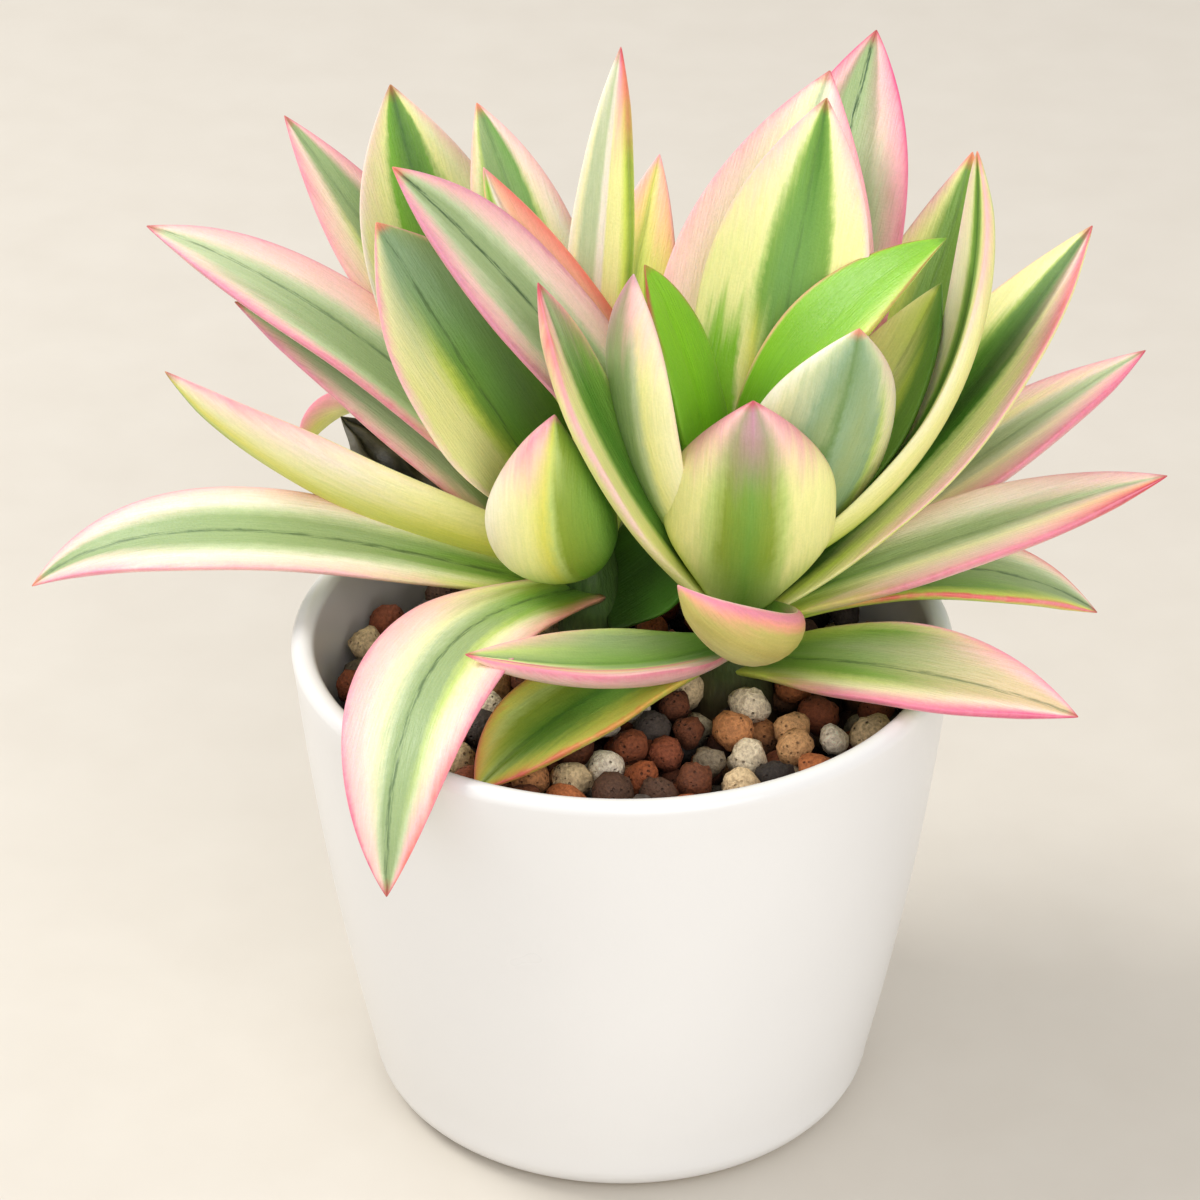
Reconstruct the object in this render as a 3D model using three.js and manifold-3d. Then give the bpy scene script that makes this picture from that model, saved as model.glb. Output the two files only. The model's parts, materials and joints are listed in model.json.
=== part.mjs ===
// Potted variegated campfire crassula: two leafy rosettes on short stems, growing out of
// a bed of clay and pumice pellets in a round white ceramic pot.
// Millimetres, +Z up, origin at the centre of the pot's flat base, -Y is the front.

import * as THREE from 'three';
import Module from 'manifold-3d';

const wasm = await Module();
wasm.setup();

// Driving dimensions
const gap = 0.35; // clearance between two pieces that touch
const flatness = 0.03; // how far a surface may move when its needless facets are merged

const pot = {
  height: 78,
  rimRadius: 50,
  wall: 3.6,
  footRadius: 33,
  footRound: 6, // height of the rounded edge between foot and side
  sideStart: 37.7, // radius that the side would have at the table without the rounded edge
  sideBulge: 1.45, // how far the side bows out of a straight taper
  floor: 5,
  innerRound: 6,
  facets: 48,
};

const bed = {
  top: 69.5, // mean top of the pellets, 8.5 mm below the rim
  crown: 0.8, // how much the bed rises from the wall to the middle
  depth: 14, // of the pellet layer
  sideRows: 2,
  shoulder: { radius: 0.6, drop: 0.3 }, // where the crown turns, as shares of the bed's radius and crown
  flatTop: 0.2, // radius of the level middle, as a share of the bed's radius
};

// A stem stands on the line from foot to top. Its foot is buried in the potting mix.
const stems = {
  left: { foot: [-3, 11, 48], top: [-6, 14, 92], footRadius: 7.4, topRadius: 3.2 },
  right: { foot: [17, 2.5, 48], top: [17, 5, 94], footRadius: 8, topRadius: 3.2 },
};
const stemSides = 12;
const stemRows = 6;
const stemEnds = {
  footHeight: 2, // height of the tapered end in the mix
  footShare: 0.7, // its radius at the bottom, as a share of the stem's
  topHeight: 1, // height of the domed end inside the crown
  topShare: 0.5, // its radius at the top, as a share of the stem's
};

// A leaf is laid out as a grower would describe it.
//   height: where it leaves its stem, above the table
//   azimuth: direction seen from above, 0 to the right and -90 to the front
//   rise, tipRise: slope of the leaf above the horizontal at its root and at its tip
//   bend: 1 bends evenly, more than 1 keeps the bend for the tip
//   swing: how far the azimuth turns on the way to the tip
//   roll, twist: turn of the blade about its length at the root, and what the tip adds
//   curl: how far each edge is turned up from the midrib
//   widest: where the blade is widest, as a share of its length
//   base: width at the root, as a share of the greatest width
//   point: bluntness of the tip, where 1.5 is drawn out and 3 is blunt
//   reach: distance of the root from the axis of the stem
const usualLeaf = {
  bend: 1,
  swing: 0,
  roll: 0,
  twist: 0,
  curl: 25,
  widest: 0.48,
  base: 0.4,
  point: 2.2,
  thickness: 3,
  reach: 2.5,
  look: 'sage',
};

// Each rosette runs from its crown down. A leaf is cut clear of the leaves before it.
const leaves = {
  right_leaf_centre_large: {
    stem: stems.right, height: 90, azimuth: 60, rise: 68, tipRise: 66, swing: 6,
    length: 67, width: 28, widest: 0.5, look: 'bright',
  },
  right_leaf_young_left: {
    stem: stems.right, height: 88, azimuth: 160, rise: 86, tipRise: 64,
    length: 48, width: 15, roll: -4, curl: 15, point: 3.4, look: 'young',
  },
  right_leaf_young_right: {
    stem: stems.right, height: 88, azimuth: 16, rise: 96, tipRise: 22,
    length: 61, width: 18, roll: 12, curl: 15, look: 'young',
  },
  right_leaf_front_broad: {
    stem: stems.right, height: 83, azimuth: -82, rise: 56, tipRise: 98,
    length: 40, width: 28, roll: -10, curl: 45, widest: 0.42, base: 0.42, point: 2.6,
    thickness: 5, reach: 4, look: 'cream',
  },
  right_leaf_inner_white_edged: {
    stem: stems.right, height: 86, azimuth: -22, rise: 58, tipRise: 82,
    length: 47, width: 24, roll: -55, curl: 35, point: 2.4,
  },
  right_leaf_purple_tip: {
    stem: stems.right, height: 85, azimuth: 200, rise: 50, tipRise: 100, swing: 14,
    length: 57, width: 18, curl: 35, widest: 0.6, look: 'cream',
  },
  right_leaf_pink_edged: {
    stem: stems.right, height: 88, azimuth: 176, rise: 58, tipRise: 45, bend: 1.3,
    length: 79, width: 19, roll: -25, curl: 20, widest: 0.6, point: 2.5, look: 'pink',
  },
  right_leaf_coral_edged: {
    stem: stems.right, height: 90, azimuth: 163, rise: 46, tipRise: 68,
    length: 68, width: 17, roll: -30, curl: 20, look: 'cream',
  },
  right_leaf_on_edge: {
    stem: stems.right, height: 80, azimuth: -152, rise: 49, tipRise: 76, bend: 0.8, swing: -15,
    length: 67, width: 15, roll: -34, curl: 30, widest: 0.6, base: 0.3, look: 'cream',
  },
  right_leaf_small_yellow: {
    stem: stems.right, height: 87, azimuth: 27, rise: 35, tipRise: 67,
    length: 51, width: 18, roll: 14, look: 'cream',
  },
  right_leaf_pink_widest: {
    stem: stems.right, height: 85, azimuth: 81, rise: 64, tipRise: 42, swing: -16,
    length: 78, width: 34, curl: 20, point: 1.9, look: 'pink',
  },
  right_leaf_pink_tallest: {
    stem: stems.right, height: 79, azimuth: 67, rise: 60, tipRise: 29, swing: 8,
    length: 96, width: 28, roll: -3, curl: 20, look: 'pink',
  },
  right_leaf_far_curved: {
    stem: stems.right, height: 85, azimuth: -4, rise: 25, tipRise: 104, swing: 54,
    length: 81, width: 18, roll: -26, point: 2.4,
  },
  right_leaf_dark_striped: {
    stem: stems.right, height: 79, azimuth: 15, rise: 37, tipRise: 60, swing: -2,
    length: 78, width: 22, roll: 16,
  },
  right_leaf_far_back: {
    stem: stems.right, height: 81, azimuth: 51, rise: 14, tipRise: 70, swing: 3,
    length: 81, width: 22, roll: 24,
  },
  right_leaf_spreading_low: {
    stem: stems.right, height: 78, azimuth: -8, rise: 28, tipRise: 20, swing: 6,
    length: 67, width: 17, roll: 12,
  },
  right_leaf_spreading_high: {
    stem: stems.right, height: 77, azimuth: 20, rise: 29, tipRise: 22, swing: 8,
    length: 74, width: 20, roll: -3,
  },
  right_leaf_drooping: {
    stem: stems.right, height: 76, azimuth: 6, rise: 34, tipRise: -36,
    length: 57, width: 16, roll: 10, widest: 0.55,
  },
  right_leaf_small_rolled: {
    stem: stems.right, height: 79, azimuth: -48, rise: 0, tipRise: 58, swing: -145,
    length: 43, width: 14, roll: 20, twist: 35, curl: 60, widest: 0.5, base: 0.5, point: 2.8,
    look: 'pink',
  },
  right_leaf_low_boat: {
    stem: stems.right, height: 74, azimuth: -119, rise: 15, tipRise: 18, swing: -52,
    length: 51, width: 14, roll: -7, curl: 50,
  },
  right_leaf_over_rim: {
    stem: stems.right, height: 71, azimuth: -45, rise: 24, tipRise: -3, bend: 1.2, swing: 15,
    length: 61, width: 18, roll: 15,
  },
  right_leaf_on_bed: {
    stem: stems.right, height: 73, azimuth: -143, rise: 8, tipRise: -14, swing: 16,
    length: 52, width: 19, widest: 0.55,
  },
  right_leaf_back_1: {
    stem: stems.right, height: 78, azimuth: 100, rise: 24, tipRise: 10, length: 58, width: 16,
  },
  right_leaf_back_2: {
    stem: stems.right, height: 75, azimuth: 76, rise: 14, tipRise: 2, length: 60, width: 17,
  },
  right_leaf_back_3: {
    stem: stems.right, height: 76, azimuth: 45, rise: 16, tipRise: -4, length: 54, width: 17,
  },
  left_leaf_narrow_keeled: {
    stem: stems.left, height: 88, azimuth: 70, rise: 86, tipRise: 74,
    length: 74, width: 11, curl: 50, widest: 0.5, look: 'cream',
  },
  left_leaf_inner_broad: {
    stem: stems.left, height: 89, azimuth: 193, rise: 59, tipRise: 64, swing: -12,
    length: 59, width: 26, roll: -50, point: 2.3,
  },
  left_leaf_young_cupped: {
    stem: stems.left, height: 83, azimuth: -106, rise: 14, tipRise: 120, swing: -4,
    length: 41, width: 21, roll: 22, curl: 40, widest: 0.45, base: 0.45, thickness: 4,
    look: 'cream',
  },
  left_leaf_back_tall: {
    stem: stems.left, height: 88, azimuth: 124, rise: 82, tipRise: 49,
    length: 66, width: 18, roll: -10, curl: 20, point: 2.4,
  },
  left_leaf_back_broad: {
    stem: stems.left, height: 88, azimuth: 136, rise: 38, tipRise: 70, swing: -10,
    length: 73, width: 26, roll: -21, point: 2.5, look: 'bright',
  },
  left_leaf_back_outer: {
    stem: stems.left, height: 86, azimuth: 137, rise: 40, tipRise: 38,
    length: 80, width: 17, roll: -13, curl: 20,
  },
  left_leaf_short_yellow: {
    stem: stems.left, height: 82, azimuth: 74, rise: 60, tipRise: 48,
    length: 63, width: 15, look: 'cream',
  },
  left_leaf_outer_upper: {
    stem: stems.left, height: 81, azimuth: 162, rise: 56, tipRise: 13,
    length: 85, width: 19, roll: -6, curl: 15, widest: 0.58, base: 0.35, point: 2.5,
    look: 'pink',
  },
  left_leaf_far_left: {
    stem: stems.left, height: 82, azimuth: 179, rise: 12, tipRise: 45, swing: 4,
    length: 70, width: 16, roll: 54, curl: 30, widest: 0.45, base: 0.5, look: 'cream',
  },
  left_leaf_outer_lower: {
    stem: stems.left, height: 77, azimuth: 159, rise: 53, tipRise: 20, swing: 6,
    length: 69, width: 16, roll: -24, curl: 20, widest: 0.5, base: 0.3,
  },
  left_leaf_arching: {
    stem: stems.left, height: 77, azimuth: 188, rise: 18, tipRise: -42, bend: 2.6, swing: -12,
    length: 87, width: 17, roll: -18, curl: 20, widest: 0.62, base: 0.3,
  },
  left_leaf_hanging: {
    stem: stems.left, height: 78, azimuth: -130, rise: 16, tipRise: -84, bend: 2.5, swing: 38,
    length: 81, width: 21, curl: 12, widest: 0.5, base: 0.5,
  },
  left_leaf_drooping: {
    stem: stems.left, height: 73, azimuth: 146, rise: 58, tipRise: -84, bend: 1.9, swing: 3,
    length: 71, width: 12, roll: 26, look: 'cream',
  },
  left_leaf_withered: {
    stem: stems.left, height: 72, azimuth: 152, rise: 30, tipRise: 26, swing: -5,
    length: 49, width: 18, roll: -16, curl: 30, thickness: 2, look: 'withered',
  },
  left_leaf_low_inner: {
    stem: stems.left, height: 76, azimuth: -8, rise: 34, tipRise: 56,
    length: 25, width: 19, roll: 34, base: 0.75, widest: 0.42,
  },
  left_leaf_back_1: {
    stem: stems.left, height: 79, azimuth: 96, rise: 26, tipRise: 34, length: 60, width: 17,
  },
  left_leaf_back_2: {
    stem: stems.left, height: 76, azimuth: 120, rise: 20, tipRise: 10, length: 60, width: 16,
  },
  left_leaf_back_3: {
    stem: stems.left, height: 77, azimuth: 70, rise: 16, tipRise: 4, length: 56, width: 15,
  },
};

const looks = {
  sage: { color: 0x9db183, roughness: 0.5, metalness: 0 },
  bright: { color: 0x86ad4e, roughness: 0.5, metalness: 0 },
  young: { color: 0x83b62b, roughness: 0.45, metalness: 0 },
  cream: { color: 0xdcd791, roughness: 0.5, metalness: 0 },
  pink: { color: 0xdcaea6, roughness: 0.5, metalness: 0 },
  withered: { color: 0x4a4038, roughness: 0.8, metalness: 0 },
  stem: { color: 0x5d6b3a, roughness: 0.7, metalness: 0 },
  pellets: { color: 0x9a6a4a, roughness: 0.95, metalness: 0 },
  mix: { color: 0x4b3a2c, roughness: 1, metalness: 0 },
  glaze: { color: 0xf1efec, roughness: 0.3, metalness: 0 },
};

// Detail of the leaf surfaces
const leafRows = 10;
const tipCut = 0.985; // the last row of a leaf, as a share of its length
const walkSteps = 1000; // steps in which a midrib is walked from root to tip
const topAcross = [1, 0.5, 0, -0.5, -1];
const underAcross = [-0.5, 0, 0.5];
const topShare = 0.3; // share of the thickness that lies above the blade's mid surface
const flare = 1.2; // how late a blade widens out of its root
const tipFade = 0.12; // last share of the length, in which the thickness runs out
const leanest = 0.35; // thickness of a very narrow stretch, as a share of the leaf's thickness
const leanPower = 0.8; // how the thickness follows the width
const stoutest = 1.8; // greatest thickness, as a share of half the width there
const lensPlace = 3; // how far out the blade keeps its thickness
const lensDepth = 0.6; // how sharply its edge closes

const radians = THREE.MathUtils.degToRad;
const mix = THREE.MathUtils.lerp;
const vector = (x, y, z) => new THREE.Vector3(x, y, z);

// One closed body over a row of rings that all have the same number of points. Each ring
// runs counterclockwise about the direction of travel, and the two ends are closed.
function skin(rings) {
  const sides = rings[0].length;
  const positions = [];
  const faces = [];
  for (const ring of rings) {
    for (const point of ring) positions.push(...point.toArray());
  }
  for (const end of [rings[0], rings.at(-1)]) {
    const centre = vector(0, 0, 0);
    for (const point of end) centre.add(point);
    positions.push(...centre.divideScalar(sides).toArray());
  }
  const last = rings.length - 1;
  const startCentre = rings.length * sides;
  const endCentre = startCentre + 1;
  for (let side = 0; side < sides; side += 1) {
    const next = (side + 1) % sides;
    for (let row = 0; row < last; row += 1) {
      const here = row * sides;
      const ahead = here + sides;
      faces.push(here + side, here + next, ahead + next);
      faces.push(here + side, ahead + next, ahead + side);
    }
    faces.push(startCentre, next, side);
    faces.push(endCentre, last * sides + side, last * sides + next);
  }
  const mesh = new wasm.Mesh({
    numProp: 3,
    vertProperties: new Float32Array(positions),
    triVerts: new Uint32Array(faces),
  });
  return new wasm.Manifold(mesh);
}

function circle(radius, height, sides, centreX = 0, centreY = 0) {
  const ring = [];
  for (let side = 0; side < sides; side += 1) {
    const angle = (2 * Math.PI * side) / sides;
    ring.push(vector(centreX + radius * Math.cos(angle), centreY + radius * Math.sin(angle), height));
  }
  return ring;
}

function boxesMeet(one, other) {
  const a = one.boundingBox();
  const b = other.boundingBox();
  return [0, 1, 2].every((i) => a.min[i] <= b.max[i] && b.min[i] <= a.max[i]);
}

// The main piece of a body once it has been cut clear of others
function cutClear(body, others) {
  let rest = body;
  for (const other of others) {
    if (boxesMeet(rest, other)) rest = rest.subtract(other);
  }
  const pieces = rest.simplify(flatness).decompose();
  pieces.sort((a, b) => b.volume() - a.volume());
  return pieces[0];
}

// Pot
function sideRadius(height) {
  const share = height / pot.height;
  return mix(pot.sideStart, pot.rimRadius, share) + pot.sideBulge * 4 * share * (1 - share);
}

function buildPot() {
  const rings = [];
  const ring = (radius, height) => rings.push(circle(radius, height, pot.facets));
  const footSteps = 3;
  for (let step = 0; step <= footSteps; step += 1) {
    const turn = (Math.PI / 2) * (step / footSteps);
    const radius = mix(pot.footRadius, sideRadius(pot.footRound), Math.sin(turn));
    ring(radius, pot.footRound * (1 - Math.cos(turn)));
  }
  const lip = pot.wall / 2;
  const shoulder = pot.height - lip;
  const sideSteps = 3;
  for (let step = 1; step < sideSteps; step += 1) {
    const height = mix(pot.footRound, shoulder, step / sideSteps);
    ring(sideRadius(height), height);
  }
  const lipSteps = 6;
  for (let step = 0; step <= lipSteps; step += 1) {
    const turn = Math.PI * (step / lipSteps);
    ring(pot.rimRadius - lip + lip * Math.cos(turn), shoulder + lip * Math.sin(turn));
  }
  const innerFoot = pot.floor + pot.innerRound;
  for (let step = 1; step <= sideSteps; step += 1) {
    const height = mix(shoulder, innerFoot, step / sideSteps);
    ring(sideRadius(height) - pot.wall, height);
  }
  const floorRadius = sideRadius(innerFoot) - pot.wall - pot.innerRound;
  for (let step = 1; step <= footSteps; step += 1) {
    const turn = (Math.PI / 2) * (step / footSteps);
    ring(floorRadius + pot.innerRound * Math.cos(turn), innerFoot - pot.innerRound * Math.sin(turn));
  }
  return skin(rings);
}

// Filling of the pot between two heights, a gap away from its wall, with a crowned top
function fillPot(low, high, lowRound, crown) {
  const rings = [];
  const fit = (height) => sideRadius(height) - pot.wall - gap;
  if (lowRound > 0) {
    rings.push(circle(fit(low + lowRound) - lowRound, low, pot.facets));
    rings.push(circle(fit(low + lowRound) - lowRound / 3, low + lowRound / 3, pot.facets));
  }
  for (let row = 0; row <= bed.sideRows; row += 1) {
    const height = mix(low + lowRound, high - crown, row / bed.sideRows);
    rings.push(circle(fit(height), height, pot.facets));
  }
  if (crown > 0) {
    rings.push(circle(fit(high) * bed.shoulder.radius, high - crown * bed.shoulder.drop, pot.facets));
    rings.push(circle(fit(high) * bed.flatTop, high, pot.facets));
  }
  return skin(rings);
}

// Stems
function stemPoint(stem, height) {
  const share = (height - stem.foot[2]) / (stem.top[2] - stem.foot[2]);
  return vector(...stem.foot).lerp(vector(...stem.top), share);
}

function buildStem(stem, grow) {
  const rings = [];
  const addRing = (height, radius) => {
    const centre = stemPoint(stem, height);
    rings.push(circle(radius + grow, centre.z, stemSides, centre.x, centre.y));
  };
  addRing(stem.foot[2] - grow, stem.footRadius * stemEnds.footShare);
  for (let row = 0; row <= stemRows; row += 1) {
    const share = row / stemRows;
    const height = mix(stem.foot[2] + stemEnds.footHeight, stem.top[2], share);
    addRing(height, mix(stem.footRadius, stem.topRadius, share));
  }
  addRing(stem.top[2] + stemEnds.topHeight + grow, stem.topRadius * stemEnds.topShare);
  return skin(rings);
}

// Leaves
function widthShare(leaf, along) {
  if (along < leaf.widest) {
    return mix(leaf.base, 1, Math.sin((Math.PI / 2) * (along / leaf.widest)) ** flare);
  }
  return 1 - ((along - leaf.widest) / (1 - leaf.widest)) ** leaf.point;
}

// Directions at a point along the leaf: ahead to the tip, across the blade and off its face
function leafFrame(leaf, along) {
  const azimuth = radians(leaf.azimuth + leaf.swing * along);
  const slope = radians(mix(leaf.rise, leaf.tipRise, along ** leaf.bend));
  const ahead = vector(
    Math.cos(azimuth) * Math.cos(slope),
    Math.sin(azimuth) * Math.cos(slope),
    Math.sin(slope),
  );
  const across = vector(-Math.sin(azimuth), Math.cos(azimuth), 0);
  const face = ahead.clone().cross(across);
  const roll = radians(leaf.roll + leaf.twist * along);
  across.applyAxisAngle(ahead, roll);
  face.applyAxisAngle(ahead, roll);
  return { ahead, across, face };
}

function midribPoints(leaf) {
  const outward = radians(leaf.azimuth);
  const point = stemPoint(leaf.stem, leaf.height);
  point.x += leaf.reach * Math.cos(outward);
  point.y += leaf.reach * Math.sin(outward);
  const points = [point.clone()];
  for (let step = 0; step < walkSteps; step += 1) {
    const { ahead } = leafFrame(leaf, (step + 0.5) / walkSteps);
    point.addScaledVector(ahead, leaf.length / walkSteps);
    points.push(point.clone());
  }
  return points;
}

// The blade in section is a lens, curled up about its midrib and thin at both edges.
function buildLeaf(leaf, grow) {
  const midrib = midribPoints(leaf);
  const curl = radians(leaf.curl);
  const rings = [];
  for (let row = 0; row < leafRows; row += 1) {
    const along = (tipCut * row) / (leafRows - 1);
    const { ahead, across, face } = leafFrame(leaf, along);
    const share = widthShare(leaf, along);
    const half = (leaf.width / 2) * share;
    const taper = Math.sqrt(Math.min(1, (1 - along) / tipFade));
    const fullness = leaf.thickness * mix(leanest, 1, share ** leanPower) * taper;
    const thickness = Math.min(fullness, stoutest * half) + 2 * grow;
    const centre = midrib[Math.round(along * walkSteps)].clone();
    if (row === 0) centre.addScaledVector(ahead, -grow);
    if (row === leafRows - 1) centre.addScaledVector(ahead, grow);
    const pointAt = (place, top) => {
      const lens = (1 - Math.abs(place) ** lensPlace) ** lensDepth;
      const lift = thickness * lens * (top ? topShare : topShare - 1);
      const turn = curl * place;
      const x = ((half + grow) * Math.sin(turn)) / curl - lift * Math.sin(turn);
      const z = ((half + grow) * (1 - Math.cos(turn))) / curl + lift * Math.cos(turn);
      return centre.clone().addScaledVector(across, x).addScaledVector(face, z);
    };
    rings.push([
      ...topAcross.map((place) => pointAt(place, true)),
      ...underAcross.map((place) => pointAt(place, false)),
    ]);
  }
  return skin(rings);
}

function meshOf(name, body, look) {
  const { vertProperties, triVerts } = body.getMesh();
  const geometry = new THREE.BufferGeometry();
  geometry.setAttribute('position', new THREE.BufferAttribute(vertProperties.slice(), 3));
  geometry.setIndex(new THREE.BufferAttribute(triVerts.slice(), 1));
  geometry.computeVertexNormals();
  const mesh = new THREE.Mesh(geometry, new THREE.MeshStandardMaterial(looks[look]));
  mesh.name = name;
  return mesh;
}

const plant = new THREE.Group();
plant.name = 'potted_campfire_crassula';

const mixTop = bed.top - bed.depth;
const wideStems = Object.values(stems).map((stem) => buildStem(stem, gap));

plant.add(meshOf('pot', buildPot(), 'glaze'));
const mixBody = fillPot(pot.floor + gap, mixTop - gap, pot.innerRound, 0);
plant.add(meshOf('potting_mix', cutClear(mixBody, wideStems), 'mix'));
const dressing = fillPot(mixTop, bed.top, 0, bed.crown);
plant.add(meshOf('pellet_top_dressing', cutClear(dressing, wideStems), 'pellets'));
plant.add(meshOf('stem_left', buildStem(stems.left, 0), 'stem'));
plant.add(meshOf('stem_right', buildStem(stems.right, 0), 'stem'));

const standing = [...wideStems];
for (const [name, given] of Object.entries(leaves)) {
  const leaf = { ...usualLeaf, ...given };
  plant.add(meshOf(name, cutClear(buildLeaf(leaf, 0), standing), leaf.look));
  standing.push(buildLeaf(leaf, gap));
}

export default plant;
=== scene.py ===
import json
import math

import bpy
import numpy as np
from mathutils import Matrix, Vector


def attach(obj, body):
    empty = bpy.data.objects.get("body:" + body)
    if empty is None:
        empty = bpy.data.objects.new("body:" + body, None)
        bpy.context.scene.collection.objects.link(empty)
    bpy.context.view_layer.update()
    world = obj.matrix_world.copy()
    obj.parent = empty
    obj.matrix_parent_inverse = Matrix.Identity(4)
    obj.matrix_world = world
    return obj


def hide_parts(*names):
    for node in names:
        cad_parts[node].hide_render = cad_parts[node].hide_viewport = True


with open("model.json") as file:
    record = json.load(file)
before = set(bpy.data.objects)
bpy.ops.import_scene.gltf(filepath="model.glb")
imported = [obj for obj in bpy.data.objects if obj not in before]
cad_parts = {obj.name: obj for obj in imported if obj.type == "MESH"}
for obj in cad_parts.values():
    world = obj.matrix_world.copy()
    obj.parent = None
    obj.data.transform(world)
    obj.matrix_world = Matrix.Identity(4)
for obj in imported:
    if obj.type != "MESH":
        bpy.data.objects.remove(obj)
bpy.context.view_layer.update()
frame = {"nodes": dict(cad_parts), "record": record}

# ------------------------------------------------------------------------------ Pot
# A round tapered pot of white stoneware, cast in one piece and dipped in a satin glaze.
# Its side bows out a little, the lip is fully round and the underside is left bare.
MM = 0.001
POT_HEIGHT, RIM_RADIUS, WALL = 78.0, 50.0, 3.6
FOOT_RADIUS, FOOT_ROUND, FLOOR, INNER_ROUND = 33.0, 6.0, 5.0, 6.0
SIDE_START, SIDE_BULGE = 37.7, 1.45


class Wire:
    """A shader socket that Python's own operators build maths on."""

    def __init__(self, finish, socket):
        self.finish = finish
        self.socket = socket

    def maths(self, operation, *values):
        return self.finish.node("ShaderNodeMath", {"operation": operation}, dict(enumerate(values)))

    def __add__(self, other):
        return self.maths("ADD", self, other)

    __radd__ = __add__

    def __sub__(self, other):
        return self.maths("SUBTRACT", self, other)

    def __rsub__(self, other):
        return self.maths("SUBTRACT", other, self)

    def __mul__(self, other):
        return self.maths("MULTIPLY", self, other)

    __rmul__ = __mul__

    def __abs__(self):
        return self.maths("ABSOLUTE", self)


class Finish:
    """A material while its nodes are being laid out."""

    def __init__(self, name):
        self.material = bpy.data.materials.new(name)
        self.material.use_nodes = True
        self.tree = self.material.node_tree
        self.tree.nodes.clear()

    def node(self, kind, settings=None, inputs=None, output=0):
        made = self.tree.nodes.new(kind)
        for key, value in (settings or {}).items():
            if key == "stops":
                ramp = made.color_ramp.elements
                ramp.remove(ramp[1])
                for i, (place, colour) in enumerate(value):
                    stop = ramp[0] if i == 0 else ramp.new(place)
                    stop.position = place
                    stop.color = (*colour, 1)
            elif key == "ramp_interpolation":
                made.color_ramp.interpolation = value
            else:
                setattr(made, key, value)
        for key, value in (inputs or {}).items():
            if isinstance(value, Wire):
                self.tree.links.new(value.socket, made.inputs[key])
            else:
                made.inputs[key].default_value = value
        return Wire(self, made.outputs[output])

    def read(self, attribute):
        return self.node("ShaderNodeAttribute", {"attribute_name": attribute}, output="Fac")

    def place(self):
        return self.node("ShaderNodeTexCoord", output="Object")

    def level(self):
        """The height above what the pot stands on, in metres."""
        return self.node("ShaderNodeSeparateXYZ", {}, {0: self.place()}, output="Z")

    def noise(self, vector, scale, detail=2.0, roughness=0.5):
        return self.node(
            "ShaderNodeTexNoise",
            {"noise_dimensions": "3D"},
            {"Vector": vector, "Scale": scale, "Detail": detail, "Roughness": roughness},
        )

    def step(self, value, low, high, start=0.0, end=1.0):
        return self.node(
            "ShaderNodeMapRange",
            {"interpolation_type": "SMOOTHSTEP"},
            {"Value": value, "From Min": low, "From Max": high, "To Min": start, "To Max": end},
        )

    def ramp(self, value, stops, interpolation="LINEAR"):
        settings = {"stops": stops, "ramp_interpolation": interpolation}
        return self.node("ShaderNodeValToRGB", settings, {0: value})

    def blend(self, mask, low, high, mode="MIX"):
        low, high = (c if isinstance(c, Wire) else (*c, 1) for c in (low, high))
        settings = {"data_type": "RGBA", "blend_type": mode}
        return self.node("ShaderNodeMix", settings, {0: mask, 6: low, 7: high}, output=2)

    def done(self, colour, roughness, height=None, depth=0.0, **constants):
        inputs = {"Base Color": colour, "Roughness": roughness}
        if height is not None:
            inputs["Normal"] = self.node(
                "ShaderNodeBump", {}, {"Strength": 1.0, "Distance": depth, "Height": height}
            )
        for key, value in constants.items():
            inputs[key.replace("_", " ")] = value
        shader = self.node("ShaderNodeBsdfPrincipled", {}, inputs)
        surface = self.tree.nodes.new("ShaderNodeOutputMaterial").inputs["Surface"]
        self.tree.links.new(shader.socket, surface)
        return self.material


def tint(code):
    """The linear colour of a colour chart's code such as 'f4e8c0'."""
    parts = [int(code[i:i + 2], 16) / 255 for i in (0, 2, 4)]
    return tuple(p / 12.92 if p <= 0.04045 else ((p + 0.055) / 1.055) ** 2.4 for p in parts)


def solid(name, corners, faces, material, slot):
    """A smooth-shaded piece made of corners in metres, which rides on the plant's one body."""
    mesh = bpy.data.meshes.new(name)
    mesh.from_pydata(corners, [], faces)
    mesh.validate()
    mesh.polygons.foreach_set("use_smooth", [True] * len(mesh.polygons))
    mesh.materials.append(material)
    piece = bpy.data.objects.new(name, mesh)
    bpy.context.scene.collection.objects.link(piece)
    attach(piece, "root")
    return piece


def skin(rings):
    """Corners and outward faces of a closed body over rings of equally many points."""
    rows, sides = rings.shape[:2]
    corners = np.vstack([rings.reshape(-1, 3), rings[0].mean(0), rings[-1].mean(0)])
    start, end = rows * sides, rows * sides + 1
    faces = []
    for side in range(sides):
        after = (side + 1) % sides
        for row in range(rows - 1):
            here, ahead = row * sides, (row + 1) * sides
            faces.append((here + side, here + after, ahead + after, ahead + side))
        faces.append((start, after, side))
        faces.append((end, (rows - 1) * sides + side, (rows - 1) * sides + after))
    return corners, faces


def side_radius(height):
    share = height / POT_HEIGHT
    return SIDE_START + (RIM_RADIUS - SIDE_START) * share + SIDE_BULGE * 4 * share * (1 - share)


def glaze():
    finish = Finish("white_satin_glaze")
    where = finish.place()
    cloud = finish.noise(where, 22.0, 3.0)
    peel = finish.noise(where, 900.0, 2.0)
    white = finish.blend(cloud, tint("e0dfde"), tint("e8e7e6"))
    bare = finish.step(finish.level(), 0.2 * MM, 0.9 * MM, 1.0, 0.0)
    clay = finish.blend(finish.noise(where, 700.0), tint("cbb99f"), tint("dfd2bd"))
    colour = finish.blend(bare, white, clay)
    roughness = 0.24 + cloud * 0.1 + bare * 0.5
    bumps = cloud * 0.4 + peel * 0.05
    return finish.done(colour, roughness, bumps, 0.4 * MM, Coat_Weight=0.25, Coat_Roughness=0.12)


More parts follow.
